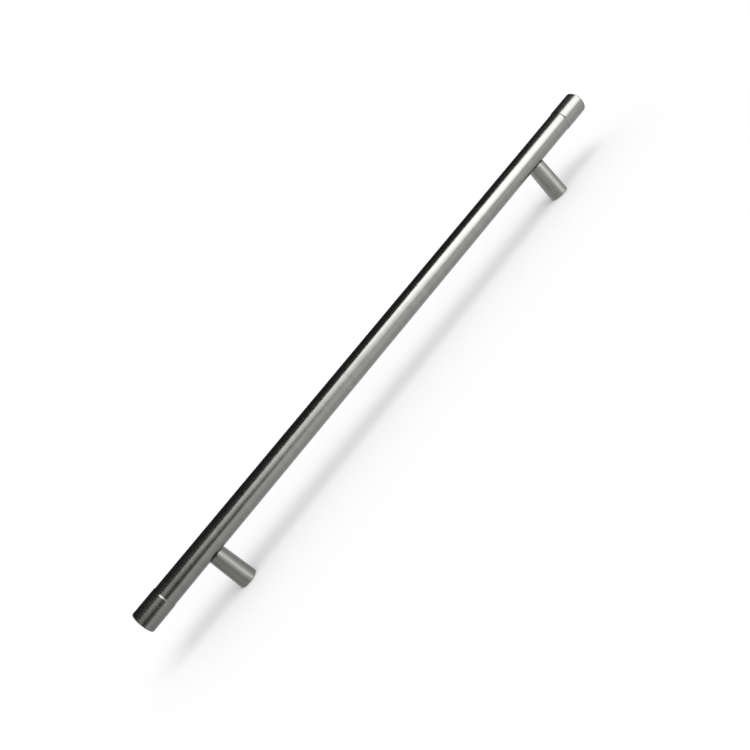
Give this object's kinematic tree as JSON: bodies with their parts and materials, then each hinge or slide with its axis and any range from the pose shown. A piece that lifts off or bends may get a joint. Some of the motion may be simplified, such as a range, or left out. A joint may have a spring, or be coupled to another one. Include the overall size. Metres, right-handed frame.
{
  "type": "bar handle",
  "caption": "Straight round bar handle for a cabinet door or drawer: a hollow brushed steel bar with capped ends, standing on posts that are tapped in the foot for screws from behind.",
  "frame": {"origin": "on the fixing face, midway between the two fixing holes", "axes": "+X along the bar, +Z from the fixing face out to the bar, +Y across the bar"},
  "size_m": [0.342, 0.0124, 0.0322],
  "materials": {
    "bar": "satin brushed stainless steel tube",
    "caps": "satin turned stainless steel",
    "posts": "satin turned stainless steel",
    "studs": "black oxide steel",
    "slugs": "bright zinc on steel"
  },
  "bodies": {
    "root": {"bar_tube": "bar", "end_cap_left": "caps", "end_cap_right": "caps", "post_left": "posts", "post_right": "posts", "stud_left": "studs", "stud_right": "studs", "bar_slug_left": "slugs", "bar_slug_right": "slugs"}
  },
  "joints": []
}
